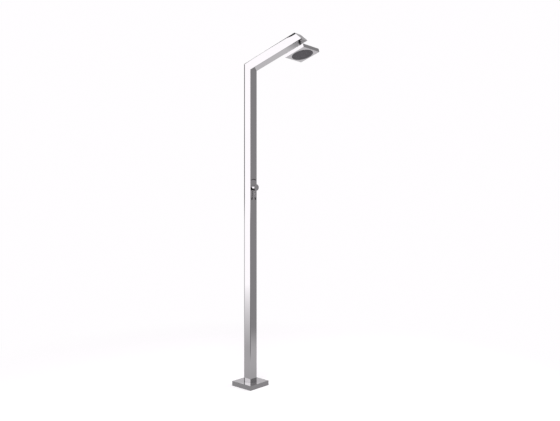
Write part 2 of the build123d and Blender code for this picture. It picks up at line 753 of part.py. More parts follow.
def nozzle_mat():
    """Silicone mat with soft nozzles that reach through the plate."""
    disc_depth = flange_top + head_thickness
    mat = cylinder_up(mat_radius, flange_top, flange_top + mat_thickness)
    roots = Pos(0, 0, -head_thickness) * (Sketch() + nozzle_places() * Circle(nozzle_root_radius))
    mat += extrude(roots, disc_depth)
    draft = math.degrees(math.atan2(nozzle_root_radius - nozzle_tip_radius, nozzle_proud))
    tip = extrude(Circle(nozzle_root_radius), -nozzle_proud, taper=draft)
    mat += nozzle_places() * (Pos(0, 0, -head_thickness) * tip)
    bores = Sketch() + nozzle_places() * Circle(nozzle_bore_radius)
    bores = Pos(0, 0, -head_thickness - 2 * nozzle_proud) * bores
    return head_frame * (mat - extrude(bores, disc_depth + 4 * nozzle_proud))


def head_face_plate():
    """Square plate that closes the housing round the nozzle plate."""
    side = head_side - 2 * head_wall - 2 * face_plate_gap
    plate = Pos(0, 0, -head_thickness + face_plate_thickness / 2) * Box(side, side, face_plate_thickness)
    return head_frame * (plate - cylinder_up(nozzle_disc_radius + nozzle_disc_gap, -2 * head_thickness, 0))


os.makedirs("parts", exist_ok=True)

write("column_tube", column_tube())
write("arm_tube", arm_tube())
write("arm_end_plate", arm_end_plate())
write("foot_plate", foot_plate())
write("base_cover", base_cover())

write("mixer_body", mixer_body())
write("mixer_gasket", mixer_gasket())
write("mixer_ring_nut", mixer_ring_nut())
write("cartridge_body", cartridge_body())
write("fixed_ceramic_disc", fixed_ceramic_disc())
write("turning_ceramic_disc", turning_ceramic_disc())
write("cartridge_stem", cartridge_stem())
write("cartridge_clamp_nut", cartridge_clamp_nut())
write("knob", knob())
write("lever", lever())
write("lever_cap", lever_cap())
write("knob_grub_screw", knob_grub_screw())

spigot_thread = (mixer_spigot_radius + slip, spigot_thread_depth)
swivel_thread = (swivel_thread_radius, swivel_thread_depth)
supply_size = (supply_radius, supply_wall)
riser_size = (riser_radius, riser_wall)
top_end = hose_end(*spigot_thread, *supply_size, supply_nut_wall, supply_ferrule_radius)
foot_end = hose_end(*swivel_thread, *supply_size, swivel_nut_wall, supply_ferrule_radius)
riser_end = hose_end(*spigot_thread, *riser_size, riser_nut_wall, riser_ferrule_radius)
end_pieces = ("washers", "tails", "nuts", "ferrules")
for side, water in ((-1, "hot"), (1, "cold")):
    write(f"{water}_supply_hose", supply_hose(side))
for piece, name in enumerate(end_pieces):
    uppers = [supply_top(side) * top_end[piece] for side in (-1, 1)]
    lowers = [supply_foot(side) * foot_end[piece] for side in (-1, 1)]
    write(f"supply_{name}", Compound(children=uppers + lowers))
    ends = [place * riser_end[piece] for place in (riser_foot, riser_head)]
    write(f"riser_{name}", Compound(children=ends))
write("riser_hose", riser_hose())

write("outlet_elbow", outlet_elbow())
write("neck_seal", neck_seal())
write("neck_rosette", neck_rosette())
write("filter_screen", filter_screen())
write("ball_stud", ball_stud())
write("upper_ball_seat", upper_ball_seat())
write("lower_ball_seat", lower_ball_seat())
write("collar_nut", collar_nut())

write("head_housing", head_housing())
write("water_chamber", water_chamber())
write("inlet_o_ring", inlet_o_ring())
write("chamber_o_ring", chamber_o_ring())
write("chamber_screws", chamber_screws())
write("nozzle_plate", nozzle_plate())
write("nozzle_mat", nozzle_mat())
write("head_face_plate", head_face_plate())
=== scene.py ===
import bmesh
import bpy
import json
import math
from mathutils import Matrix, Vector


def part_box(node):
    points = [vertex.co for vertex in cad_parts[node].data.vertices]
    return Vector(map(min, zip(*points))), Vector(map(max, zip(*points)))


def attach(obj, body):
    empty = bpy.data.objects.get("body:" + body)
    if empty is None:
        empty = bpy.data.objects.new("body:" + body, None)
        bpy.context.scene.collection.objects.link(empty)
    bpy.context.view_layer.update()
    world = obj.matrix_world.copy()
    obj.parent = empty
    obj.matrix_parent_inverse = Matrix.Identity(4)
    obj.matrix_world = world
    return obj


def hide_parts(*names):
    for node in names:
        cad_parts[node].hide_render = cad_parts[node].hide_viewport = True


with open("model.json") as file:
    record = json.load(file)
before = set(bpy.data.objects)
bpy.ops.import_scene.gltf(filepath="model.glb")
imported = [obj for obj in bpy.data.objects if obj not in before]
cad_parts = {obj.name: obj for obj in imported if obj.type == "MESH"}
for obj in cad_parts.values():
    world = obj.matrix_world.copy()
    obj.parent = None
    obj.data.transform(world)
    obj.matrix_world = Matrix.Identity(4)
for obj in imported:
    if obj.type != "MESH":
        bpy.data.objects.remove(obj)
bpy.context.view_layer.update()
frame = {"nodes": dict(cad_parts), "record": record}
nodes = frame["nodes"]

# ---- camera ----
# Eye level, level gaze, 45 degrees round from the shower's front towards its left side.
# The gaze is turned a little past the column, which puts the column left of the middle.
camera_distance = 3.775
camera_height = 1.147
camera_bearing = math.radians(45)
camera_pan = math.radians(2.95)
focal_length = 36.93
film_width = 36.0
camera_data = bpy.data.cameras.new("camera")
camera_data.lens = focal_length
camera_data.sensor_width = film_width
camera = bpy.data.objects.new("camera", camera_data)
camera.location = (
    -camera_distance * math.sin(camera_bearing),
    -camera_distance * math.cos(camera_bearing),
    camera_height,
)
camera.rotation_euler = (math.pi / 2, 0, -camera_bearing - camera_pan)
bpy.context.scene.collection.objects.link(camera)
bpy.context.scene.camera = camera
bpy.context.scene.view_settings.view_transform = "Standard"


# ---- studio room ----
# White sweep on the shower's left, grey wall on its right, dark gaps behind it and above the
# sweep, and a dark figure in front. The polished steel shows them; the eye sees plain white.
class Tree:
    """Short hand for building one node tree."""

    def __init__(self, tree):
        self.tree = tree
        tree.nodes.clear()

    def node(self, kind, **settings):
        made = self.tree.nodes.new(kind)
        for name, value in settings.items():
            setattr(made, name, value)
        return made

    def feed(self, socket, value):
        """Link an output into a socket, or set the socket's own value."""
        if isinstance(value, bpy.types.NodeSocket):
            self.tree.links.new(value, socket)
        else:
            socket.default_value = value

    def math(self, operation, *values):
        made = self.node("ShaderNodeMath", operation=operation)
        for socket, value in zip(made.inputs, values):
            self.feed(socket, value)
        return made.outputs[0]

    def product(self, first, *others):
        for other in others:
            first = self.math("MULTIPLY", first, other)
        return first

    def length(self, x, y):
        return self.math("SQRT", self.math("ADD", self.product(x, x), self.product(y, y)))

    def ramp(self, value, low, high, to_low=0.0, to_high=1.0, smooth=True):
        """Value between low and high, mapped to a new range and held beyond it."""
        kind = "SMOOTHSTEP" if smooth else "LINEAR"
        made = self.node("ShaderNodeMapRange", interpolation_type=kind)
        for socket, item in zip(made.inputs, (value, low, high, to_low, to_high)):
            self.feed(socket, item)
        return made.outputs[0]

    def mix(self, factor, first, second):
        """Blend of two colours."""
        made = self.node("ShaderNodeMix", data_type="RGBA")
        self.feed(made.inputs[0], factor)
        self.feed(made.inputs[6], first)
        self.feed(made.inputs[7], second)
        return made.outputs[2]

    def blend(self, factor, first, second):
        """Blend of two shaders."""
        made = self.node("ShaderNodeMixShader")
        for socket, item in zip(made.inputs, (factor, first, second)):
            self.feed(socket, item)
        return made.outputs[0]


room_cast = 0.97         # share of green that is left in the room's light
backdrop_cast = 0.985    # and in the backdrop and the floor


def grey(level, cast=room_cast):
    """Neutral grey with the studio lamps' very faint magenta cast."""
    return (level, level * cast, level, 1.0)


# places round the shower: bearing from +X and half width, in degrees
sweep_above = (174.6, 43.3)
sweep_below = (140.6, 9.4)
sweep_floor = (141, 17)
roof_light = (175, 20)
gap_behind = (90, 50)
rear_window = (45, 8)
grey_wall = (295, 55)
front_floor = (270, 25)
figure_above = (229, 11)
figure_below = (214, 56)
right_side = (-2, 63)
soft_edge = 4
sharp_edge = 1

# heights in the room, as sines of the angle above the horizon: from none to all of a change
horizon = (-0.03, 0.03)
steep_floor = (-0.36, -0.46)
deep_floor = (-0.62, -0.71)
ceiling = (0.35, 0.7)
window_sill = (0.2, 0.26)
window_top = (0.38, 0.34)
figure_top = (0.42, 0.37)
sweep_top = (0.354, 0.363)

# brightness of the room's parts, from black at 0 to white at 1
plain_wall_level = 0.52
ceiling_level = 0.28
grey_wall_level = 0.232
window_level = 0.8
roof_light_level = 0.5
sweep_level = 1.09
over_sweep_level = 0.04
gap_level = 0.03
gap_floor_level = 0.45
dark_floor_level = 0.02
deep_floor_level = 0.4
figure_level = 0.04
figure_feet_level = 0.05
figure_shade_level = 0.005


def wall(tree, x, y, place, softness=soft_edge):
    """Mask of a wall or a stretch of floor, seen from the shower."""
    bearing, half_width, softness = (math.radians(angle) for angle in (*place, softness))
    along = tree.product(x, math.cos(bearing))
    facing = tree.math("ADD", along, tree.product(y, math.sin(bearing)))
    cosine = tree.math("DIVIDE", facing, tree.math("MAXIMUM", tree.length(x, y), 1e-4))
    return tree.ramp(cosine, math.cos(half_width + softness), math.cos(half_width - softness))


def room_colour(tree, x, y, z):
    """Colour of the room in a direction."""

    def towards(place, softness=soft_edge):
        return wall(tree, x, y, place, softness)

    above = tree.ramp(z, *horizon)
    below = tree.math("SUBTRACT", 1.0, above)
    steep = tree.ramp(z, *steep_floor)
    colour = tree.mix(tree.ramp(z, *ceiling), grey(plain_wall_level), grey(ceiling_level))
    colour = tree.mix(towards(grey_wall), colour, grey(grey_wall_level))

    gap_floor = tree.mix(steep, grey(gap_floor_level), grey(dark_floor_level))
    gap = tree.mix(above, gap_floor, grey(gap_level))
    colour = tree.mix(towards(gap_behind), colour, gap)
    window_height = tree.product(tree.ramp(z, *window_sill), tree.ramp(z, *window_top))
    window = tree.product(towards(rear_window), window_height)
    colour = tree.mix(window, colour, grey(window_level))

    colour = tree.mix(tree.ramp(z, *deep_floor), colour, grey(deep_floor_level))
    colour = tree.mix(tree.product(towards(front_floor), steep), colour, grey(dark_floor_level))
    feet = tree.mix(steep, grey(figure_feet_level), grey(figure_shade_level))
    colour = tree.mix(tree.product(towards(figure_below), below), colour, feet)
    upright = tree.product(towards(figure_above), above, tree.ramp(z, *figure_top))
    colour = tree.mix(upright, colour, grey(figure_level))

    lower_sweep = towards(sweep_below, sharp_edge)
    upper_sweep = towards(sweep_above, sharp_edge)
    sweep_place = tree.ramp(above, 0.0, 1.0, lower_sweep, upper_sweep, smooth=False)
    over_sweep = tree.mix(towards(roof_light), grey(over_sweep_level), grey(roof_light_level))
    sweep = tree.mix(tree.ramp(z, *sweep_top), grey(sweep_level), over_sweep)
    return tree.mix(sweep_place, colour, sweep)


ambient_level = 0.55     # even light on matt surfaces
world = bpy.data.worlds.new("studio")
bpy.context.scene.world = world
world.use_nodes = True
tree = Tree(world.node_tree)
direction = tree.node("ShaderNodeSeparateXYZ")
tree.feed(direction.inputs[0], tree.node("ShaderNodeTexCoord").outputs["Generated"])
rays = tree.node("ShaderNodeLightPath").outputs
room = room_colour(tree, *direction.outputs)
soft = tree.mix(rays["Is Diffuse Ray"], room, grey(ambient_level))
shown = tree.mix(rays["Is Camera Ray"], soft, grey(1.0, backdrop_cast))
background = tree.node("ShaderNodeBackground")
tree.feed(background.inputs["Color"], shown)
output = tree.node("ShaderNodeOutputWorld")
tree.feed(output.inputs["Surface"], background.outputs[0])

# ---- floor ----
# Pale matt floor. It keeps the shower's soft shadow and turns plain white further out. In
# the steel it is mid grey round the foot and runs out into the walls.
floor_half = 9.0
floor_paint = 0.8
floor_glow = 0.33
floor_in_steel = 0.4
shade_at_foot = 0.88              # share of that, close to the shower
# distances from the shower over which the floor changes
foot_shade = (0.08, 0.6)
plain_white = (1.0, 2.4)
mirrored_end = (0.6, 1.05)
mirrored_end_right = (0.9, 2.0)
mirrored_end_left = (1.1, 5.2)
floor_mesh = bpy.data.meshes.new("floor")
corners = [(x * floor_half, y * floor_half, 0.0) for x, y in ((-1, -1), (1, -1), (1, 1), (-1, 1))]
floor_mesh.from_pydata(corners, [], [(0, 1, 2, 3)])
floor = bpy.data.objects.new("floor", floor_mesh)
bpy.context.scene.collection.objects.link(floor)
floor_look = bpy.data.materials.new("pale_floor")
floor_look.use_nodes = True
tree = Tree(floor_look.node_tree)
place = tree.node("ShaderNodeSeparateXYZ")
tree.feed(place.inputs[0], tree.node("ShaderNodeTexCoord").outputs["Object"])
x, y = place.outputs[0], place.outputs[1]
away = tree.length(x, y)
rays = tree.node("ShaderNodeLightPath").outputs


def glow(tree, colour, strength=1.0):
    """Light given off by a surface."""
    made = tree.node("ShaderNodeEmission")
    tree.feed(made.inputs["Color"], colour)
    tree.feed(made.inputs["Strength"], strength)
    return made.outputs[0]


matt = tree.node("ShaderNodeBsdfDiffuse")
tree.feed(matt.inputs["Color"], grey(floor_paint, backdrop_cast))
lit = tree.node("ShaderNodeAddShader")
tree.feed(lit.inputs[0], matt.outputs[0])
tree.feed(lit.inputs[1], glow(tree, grey(floor_glow, backdrop_cast)))
white = glow(tree, grey(1.0, backdrop_cast))
seen = tree.blend(tree.ramp(away, *plain_white), lit.outputs[0], white)
mirrored = glow(tree, grey(floor_in_steel), tree.ramp(away, *foot_shade, shade_at_foot, 1.0))
fade = tree.ramp(away, *mirrored_end)
far_right = tree.ramp(away, *mirrored_end_right)
fade = tree.ramp(wall(tree, x, y, right_side), 0.0, 1.0, fade, far_right, smooth=False)
far_left = tree.ramp(away, *mirrored_end_left, smooth=False)
fade = tree.ramp(wall(tree, x, y, sweep_floor), 0.0, 1.0, fade, far_left, smooth=False)
open_floor = tree.blend(fade, mirrored, tree.node("ShaderNodeBsdfTransparent").outputs[0])
output = tree.node("ShaderNodeOutputMaterial")
tree.feed(output.inputs["Surface"], tree.blend(rays["Is Glossy Ray"], seen, open_floor))
floor_mesh.materials.append(floor_look)

# ---- lamps ----
# Two big soft lamps stand left and right in front of the shower, for all that isn't a mirror.
# They are hidden from the steel, which shows the walls instead.
lamp_side = 2.5
lamp_target = Vector((0, 0, 1.1))
for name, spot, watts in (
    ("key_lamp", (-2.4, -1.6, 3.6), 95),
    ("fill_lamp", (2.6, -2.2, 2.6), 45),
):
    lamp_data = bpy.data.lights.new(name, "AREA")
    lamp_data.size = lamp_side
    lamp_data.energy = watts
    lamp = bpy.data.objects.new(name, lamp_data)
    lamp.location = spot
    aim = lamp_target - lamp.location
    lamp.rotation_euler = aim.to_track_quat("-Z", "Y").to_euler()
    lamp.visible_glossy = False
    bpy.context.scene.collection.objects.link(lamp)


# ---- foot plate and small plain steel pieces ----
# Laser-cut plate, screws, ferrules and the filter are plain satin stainless: fine rolling
# lines, scuffs that shine, and brown traces of water where it stays longest.
class Finish(Tree):
    """Material with a Principled shader, for textures that stay with the object."""

    def __init__(self, name):
        self.material = bpy.data.materials.new(name)
        self.material.use_nodes = True
        super().__init__(self.material.node_tree)
        shader = self.node("ShaderNodeBsdfPrincipled")
        self.feed(self.node("ShaderNodeOutputMaterial").inputs["Surface"], shader.outputs[0])
        self.sockets = shader.inputs
        coordinates = self.node("ShaderNodeTexCoord")
        self.place = coordinates.outputs["Object"]
        self.facing = coordinates.outputs["Normal"]

    def put(self, **values):
        """Feed the shader's sockets by name."""
        for name, value in values.items():
            self.feed(self.sockets[name.replace("_", " ")], value)

    def split(self, vector):
        parts = self.node("ShaderNodeSeparateXYZ")
        self.feed(parts.inputs[0], vector)
        return parts.outputs

    def noise(self, scale, detail=2.0, stretch=None):
        """Noise, mostly between 0.3 and 0.7; scale or stretch gives its features a metre."""
        made = self.node("ShaderNodeTexNoise")
        vector = self.place
        if stretch:
            mapping = self.node("ShaderNodeMapping")
            self.feed(mapping.inputs["Vector"], vector)
            mapping.inputs["Scale"].default_value = stretch
            vector = mapping.outputs[0]
        self.feed(made.inputs["Vector"], vector)
        made.inputs["Scale"].default_value = scale
        made.inputs["Detail"].default_value = detail
        return made.outputs[0]

    def cells(self, scale):
        """Distance to the nearest of many scattered points."""
        made = self.node("ShaderNodeTexVoronoi")
        self.feed(made.inputs["Vector"], self.place)
        made.inputs["Scale"].default_value = scale
        return made.outputs["Distance"]

    def vector(self, operation, first, second=None):
        made = self.node("ShaderNodeVectorMath", operation=operation)
        self.feed(made.inputs[0], first)
        if second is not None:
            self.feed(made.inputs[1], second)
        return made.outputs["Value" if operation == "DOT_PRODUCT" else "Vector"]

    def bump(self, height, distance, strength=1.0, normal=None):
        """Relief of that depth, over another normal if one is given."""
        made = self.node("ShaderNodeBump")
        made.inputs["Distance"].default_value = distance
        made.inputs["Strength"].default_value = strength
        self.feed(made.inputs["Height"], height)
        if normal:
            self.feed(made.inputs["Normal"], normal)
        self.put(Normal=made.outputs[0])


def paint(colour):
    """Colour as a shader's socket takes it."""
    return (*colour, 1.0)


def shade(colour, share):
    """The same colour at a share of its brightness."""
    return tuple(share * part for part in colour)


def wear(material, *names):
    """Give CAD nodes their finish."""
    for name in names:
        for slot in nodes[name].material_slots:
            slot.material = material


def satin_steel(name, colour, stain_colour, line_relief=0.00004):
    """Rolled surface with fine lines across it, shiny scuffs and brown stains."""
    finish = Finish(name)
    lines = finish.noise(1.0, 4.0, stretch=(1200, 40, 1200))
    scuffs = finish.ramp(finish.noise(35, 6.0), 0.55, 0.7)
    stains = finish.ramp(finish.noise(14, 5.0), 0.5, 0.75, 0.0, 0.5)
    tint = finish.mix(finish.ramp(lines, 0.3, 0.7), paint(shade(colour, 0.86)), paint(colour))
    finish.put(Base_Color=finish.mix(stains, tint, paint(stain_colour)), Metallic=1.0)
    rough = finish.ramp(lines, 0.3, 0.7, 0.3, 0.46)
    finish.put(Roughness=finish.math("SUBTRACT", rough, finish.product(scuffs, 0.12)))
    finish.bump(lines, line_relief, 0.3)
    return finish.material


small_steel = satin_steel("satin_stainless", (0.62, 0.62, 0.63), (0.36, 0.3, 0.24))
wear(small_steel, "foot_plate", "filter_screen", "chamber_screws", "knob_grub_screw")
wear(small_steel, "supply_ferrules", "riser_ferrules")


# ---- column, arm and end plate ----
# Square stainless tube, mitred and welded at the bend, closed by a plate, ground and
# polished to a mirror: faint polishing lines along the tubes and a few dull smears are left.
arm_rise = math.radians(15)
column_rise = math.radians(90)
half_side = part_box("arm_tube")[1][0]
column_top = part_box("column_tube")[1][2]
bend_height = column_top - half_side * (1 - math.sin(arm_rise)) / math.cos(arm_rise)
corner_radius = 0.003
crown_width, crown_tilt = 0.012, 0.07    # polishing dips the faces towards their corners,
end_width, end_tilt = 0.018, 0.15        # and more so above at the arm's welded end
end_start, end_full = -0.335, -0.395
upper_start, upper_full = -0.01, 0.0
corner_turn = math.radians(60)           # a corner turns a face's normal no further
steel_colour = (0.93, 0.925, 0.93)
polish_relief = 0.00002


def tube_normal(finish, rise):
    """Normal of a square tube with polished-down edges, for the outer faces along the tube."""
    across, depth, height = finish.split(finish.place)
    height = finish.math("SUBTRACT", height, bend_height)
    over = finish.math("ADD", finish.product(depth, math.sin(rise)), finish.product(height, math.cos(rise)))
    near_end = finish.ramp(depth, end_start, end_full)
    worn = finish.product(near_end, finish.ramp(over, upper_start, upper_full))
    tilt = finish.ramp(worn, 0.0, 1.0, crown_tilt, end_tilt, smooth=False)
    dip_start = finish.ramp(worn, 0.0, 1.0, half_side - crown_width, half_side - end_width, smooth=False)
    flat = half_side - corner_radius

    def turned(place):
        size = finish.math("ABSOLUTE", place)
        crown = finish.product(finish.ramp(size, dip_start, flat, smooth=False), tilt)
        corner = finish.ramp(size, flat, half_side, smooth=False)
        return finish.product(finish.math("SIGN", place), finish.math("MAXIMUM", crown, corner))

    lean = turned(over)
    rounded = finish.node("ShaderNodeCombineXYZ")
    finish.feed(rounded.inputs[0], turned(across))
    finish.feed(rounded.inputs[1], finish.product(lean, math.sin(rise)))
    finish.feed(rounded.inputs[2], finish.product(lean, math.cos(rise)))
    rounded = finish.vector("NORMALIZE", rounded.outputs[0])
    plain = finish.node("ShaderNodeNewGeometry").outputs["Normal"]
    likeness = finish.vector("DOT_PRODUCT", plain, rounded)
    chosen = finish.node("ShaderNodeMix", data_type="VECTOR")
    finish.feed(chosen.inputs[0], finish.math("GREATER_THAN", likeness, math.cos(corner_turn)))
    finish.feed(chosen.inputs[4], plain)
    finish.feed(chosen.inputs[5], rounded)
    return chosen.outputs[1]


def polished_metal(name, colour, grain, roughness=0.015, smear=0.03, rise=None, mark=None):
    """Mirror finish with polishing lines and duller smears.

    The grain is the number of lines a metre along each axis, and rise the slope of the square
    tube, where it is one. A mark is a mask with the colour and the roughness that it lays on.
    """
    finish = Finish(name)
    lines = finish.noise(1.0, 3.0, stretch=grain)
    patches = finish.ramp(finish.noise(9.0, 4.0), 0.52, 0.68)
    tint = finish.mix(finish.ramp(lines, 0.35, 0.65), paint(shade(colour, 0.97)), paint(colour))
    dull = finish.ramp(lines, 0.3, 0.7, roughness, 2 * roughness)
    dull = finish.math("ADD", dull, finish.product(patches, smear))
    if mark:
        mask_of, mark_colour, mark_roughness = mark
        mask = mask_of(finish)
        tint = finish.mix(mask, tint, paint(mark_colour))
        dull = finish.ramp(mask, 0.0, 1.0, dull, mark_roughness, smooth=False)
    finish.put(Base_Color=tint, Roughness=dull, Metallic=1.0)
    finish.bump(lines, polish_relief, 0.05, tube_normal(finish, rise) if rise else None)
    return finish.material


knob_height = sum(corner[2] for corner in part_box("knob")) / 2
arc_radius = 0.053
arc_from, arc_to = math.radians(-31), math.radians(22)
arc_thin, arc_thick = 0.0016, 0.0036     # half the arc's width at its ends
front_skin = 0.0005                      # behind the column's front face


def temperature_arc(finish):
    """Scale etched over the knob: an arc that gets thicker from cold to hot."""
    across, depth, height = finish.split(finish.place)
    height = finish.math("SUBTRACT", height, knob_height)
    angle = finish.math("ARCTAN2", across, height)
    off_line = finish.math("ABSOLUTE", finish.math("SUBTRACT", finish.length(across, height), arc_radius))
    half_width = finish.ramp(angle, arc_from, arc_to, arc_thin, arc_thick, smooth=False)
    on_line = finish.math("LESS_THAN", off_line, half_width)
    after = finish.math("GREATER_THAN", angle, arc_from)
    before = finish.math("LESS_THAN", angle, arc_to)
    in_front = finish.math("LESS_THAN", depth, front_skin - half_side)
    return finish.product(on_line, after, before, in_front)


end_shade_start, end_shade_full = -0.31, -0.42     # along the arm
facing_down = (-0.6, -0.85)


def arm_end_shade(finish):
    """Painted shade: darker grey on the arm's underside towards its end, where the head hides the floor
    from its reflection.
    """
    along = finish.ramp(finish.split(finish.place)[1], end_shade_start, end_shade_full)
    under = finish.ramp(finish.split(finish.facing)[2], *facing_down)
    patchy = finish.ramp(finish.noise(60, 4.0), 0.3, 0.7, 0.85, 1.0)
    return finish.product(along, under, patchy)


etched = (temperature_arc, (0.16, 0.15, 0.16), 0.5)
# painted shade under the end of the arm: darker grey and a little duller
shaded_arm_end = (arm_end_shade, (0.45, 0.445, 0.45), 0.05)
column_steel = polished_metal("polished_column", steel_colour, (900, 900, 6), rise=column_rise, mark=etched)
arm_steel = polished_metal("polished_arm", steel_colour, (900, 6, 900), rise=arm_rise, mark=shaded_arm_end)
end_steel = polished_metal("polished_end", steel_colour, (6, 900, 900), rise=arm_rise)
wear(column_steel, "column_tube")
wear(arm_steel, "arm_tube")
wear(end_steel, "arm_end_plate")

# ---- base cover ----
# Pressed stainless cover, more handled and duller than the column, with fine round scuffs.
# Its top is painted darker and a little duller, a painted shade that is left off towards the left front
# corner.
facing_up = (0.6, 0.85)
clear_corner_full, clear_corner_start = -0.075, -0.055    # across plus depth, towards the left front corner


def cover_top_shade(finish):
    """Painted shade on the upper side of the cover, a little patchy, left off towards the left front
    corner.
    """
    upper = finish.ramp(finish.split(finish.facing)[2], *facing_up)
    place = finish.split(finish.place)
    off_corner = finish.ramp(finish.math("ADD", place[0], place[1]), clear_corner_full, clear_corner_start)
    patchy = finish.ramp(finish.noise(70, 4.0), 0.3, 0.7, 0.9, 1.0)
    return finish.product(upper, off_corner, patchy)


# painted shade on the cover's top: darker grey and a little duller
shaded_cover_top = (cover_top_shade, (0.51, 0.505, 0.51), 0.09)
cover_steel = polished_metal("scuffed_cover", (0.68, 0.675, 0.68), (60, 60, 60), 0.07, 0.06, mark=shaded_cover_top)
wear(cover_steel, "base_cover")

# ---- hoses and fittings ----
# Hoses braided over with crossing steel wires, and brass fittings: the nuts and tails at the
# hoses' ends are turned, the mixer's body and the elbow in the arm are cast.
wire_pitch = 0.0016
wire_slant = math.radians(35)
wave_unit = 20              # radians that the wave texture runs through in one unit
grime_colour = (0.2, 0.19, 0.18)
tarnish_colour = (0.5, 0.36, 0.17)


def braid(name, colour):
    """Two sets of slanting wires, one woven over the other."""
    finish = Finish(name)
    sets = []
    for slant in (wire_slant, -wire_slant):
        mapping = finish.node("ShaderNodeMapping")
        finish.feed(mapping.inputs["Vector"], finish.place)
        mapping.inputs["Rotation"].default_value = (slant, slant, 0)
        wires = finish.node("ShaderNodeTexWave", wave_type="BANDS", bands_direction="Z")
        finish.feed(wires.inputs["Vector"], mapping.outputs[0])
        wires.inputs["Scale"].default_value = math.tau / wave_unit / wire_pitch
        sets.append(wires.outputs["Fac"])
    weave = finish.math("MAXIMUM", *sets)
    grime = finish.ramp(finish.noise(45, 5.0), 0.45, 0.75, 0.0, 0.45)
    tint = finish.mix(weave, paint(shade(colour, 0.25)), paint(colour))
    finish.put(Base_Color=finish.mix(grime, tint, paint(grime_colour)), Metallic=1.0)
    finish.put(Roughness=finish.ramp(weave, 0.2, 1.0, 0.55, 0.28))
    finish.bump(weave, 0.0004, 0.8)
    return finish.material


def brass(name, colour, cast):
    """Brass with turning marks, or with the fine sandy skin of a casting."""
    finish = Finish(name)
    skin = finish.noise(900, 4.0) if cast else finish.noise(1.0, 2.0, stretch=(90, 90, 2600))
    tarnish = finish.ramp(finish.noise(55, 5.0), 0.42, 0.72)
    tint = finish.mix(tarnish, paint(colour), paint(tarnish_colour))
    finish.put(Base_Color=tint, Metallic=1.0)
    rough = finish.ramp(skin, 0.3, 0.7, 0.24, 0.38)
    finish.put(Roughness=finish.math("ADD", rough, finish.product(tarnish, 0.14)))
    finish.bump(skin, 0.0003 if cast else 0.00005, 0.5)
    return finish.material


wear(braid("steel_braid_hose", (0.62, 0.63, 0.64)), "cold_supply_hose", "hot_supply_hose", "riser_hose")
turned_brass = brass("turned_brass", (0.8, 0.62, 0.32), cast=False)
cast_brass = brass("cast_brass", (0.76, 0.59, 0.31), cast=True)
wear(turned_brass, "supply_nuts", "supply_tails", "riser_nuts", "riser_tails")
wear(turned_brass, "mixer_ring_nut", "cartridge_stem", "cartridge_clamp_nut")
wear(cast_brass, "mixer_body", "outlet_elbow")


# ---- rubber, plastic and ceramic pieces ----
# Black rubber with a bloom of dust, moulded plastic with a fine leathery skin, and the
# cartridge's two lapped ceramic discs.
dust_colour = (0.2, 0.2, 0.2)
fleck_colour = (0.7, 0.68, 0.62)


def rubber(name, colour, bloom):
    """Fine matt skin under as much dust as the bloom says."""
    finish = Finish(name)
    dust = finish.ramp(finish.noise(70, 6.0), 0.4, 0.75, 0.0, bloom)
    speck = finish.noise(2500, 2.0)
    finish.put(Base_Color=finish.mix(dust, paint(colour), paint(dust_colour)))
    finish.put(Roughness=finish.ramp(speck, 0.3, 0.7, 0.55, 0.8))
    finish.bump(speck, 0.0001, 0.4)
    return finish.material


def moulded(name, colour, roughness):
    """Moulded plastic with a fine leathery skin."""
    finish = Finish(name)
    skin = finish.cells(1400)
    shades = finish.ramp(finish.noise(30, 4.0), 0.3, 0.7, 0.0, 1.0)
    finish.put(Base_Color=finish.mix(shades, paint(shade(colour, 0.88)), paint(colour)))
    finish.put(Roughness=finish.ramp(skin, 0.1, 0.6, roughness, roughness + 0.15))
    finish.bump(skin, 0.00012, 0.35)
    return finish.material


def ceramic(name, colour):
    """Lapped ceramic with faint flecks, under a thin gloss."""
    finish = Finish(name)
    flecks = finish.ramp(finish.noise(1800, 3.0), 0.62, 0.72, 0.0, 0.35)
    finish.put(Base_Color=finish.mix(flecks, paint(colour), paint(fleck_colour)))
    finish.put(Roughness=finish.ramp(finish.noise(300, 3.0), 0.3, 0.7, 0.12, 0.25), Coat_Weight=0.3)
    finish.bump(finish.noise(600, 2.0), 0.00002, 0.2)
    return finish.material


black_rubber = rubber("black_rubber", (0.022, 0.022, 0.024), 0.25)
wear(black_rubber, "mixer_gasket", "neck_seal", "inlet_o_ring", "chamber_o_ring", "lower_ball_seat")
wear(black_rubber, "supply_washers", "riser_washers")
wear(rubber("lever_grip", (0.012, 0.012, 0.013), 0.05), "lever_cap")
wear(moulded("white_acetal", (0.84, 0.84, 0.82), 0.3), "upper_ball_seat", "cartridge_body")
wear(moulded("grey_moulding", (0.085, 0.08, 0.09), 0.4), "water_chamber", "nozzle_plate")
wear(ceramic("lapped_ceramic", (0.92, 0.92, 0.9)), "fixed_ceramic_disc", "turning_ceramic_disc")

# ---- knob, lever, neck and collar ----
# Chromed brass knob: a clear mirror with the faint orange peel of the plating. The ball joint
# and its rosette are plated in dark nickel. The lever is satin, worn by hands.
chrome = polished_metal("chrome_plate", (0.94, 0.935, 0.94), (40, 40, 40), 0.01, 0.02)
nickel = polished_metal("dark_nickel_plate", (0.4, 0.395, 0.4), (40, 40, 40), 0.05, 0.04)
wear(chrome, "knob")
wear(nickel, "neck_rosette", "ball_stud", "collar_nut")
wear(polished_metal("satin_lever", (0.62, 0.615, 0.62), (900, 900, 30), 0.22), "lever")

# ---- head ----
# Square housing of polished stainless sheet, and a satin face plate, brushed across, that
# closes it from below round the nozzle disc.
head_steel = polished_metal("polished_head", steel_colour, (6, 900, 900))
wear(head_steel, "head_housing")
wear(polished_metal("satin_face", (0.94, 0.935, 0.945), (6, 900, 900), 0.1), "head_face_plate")

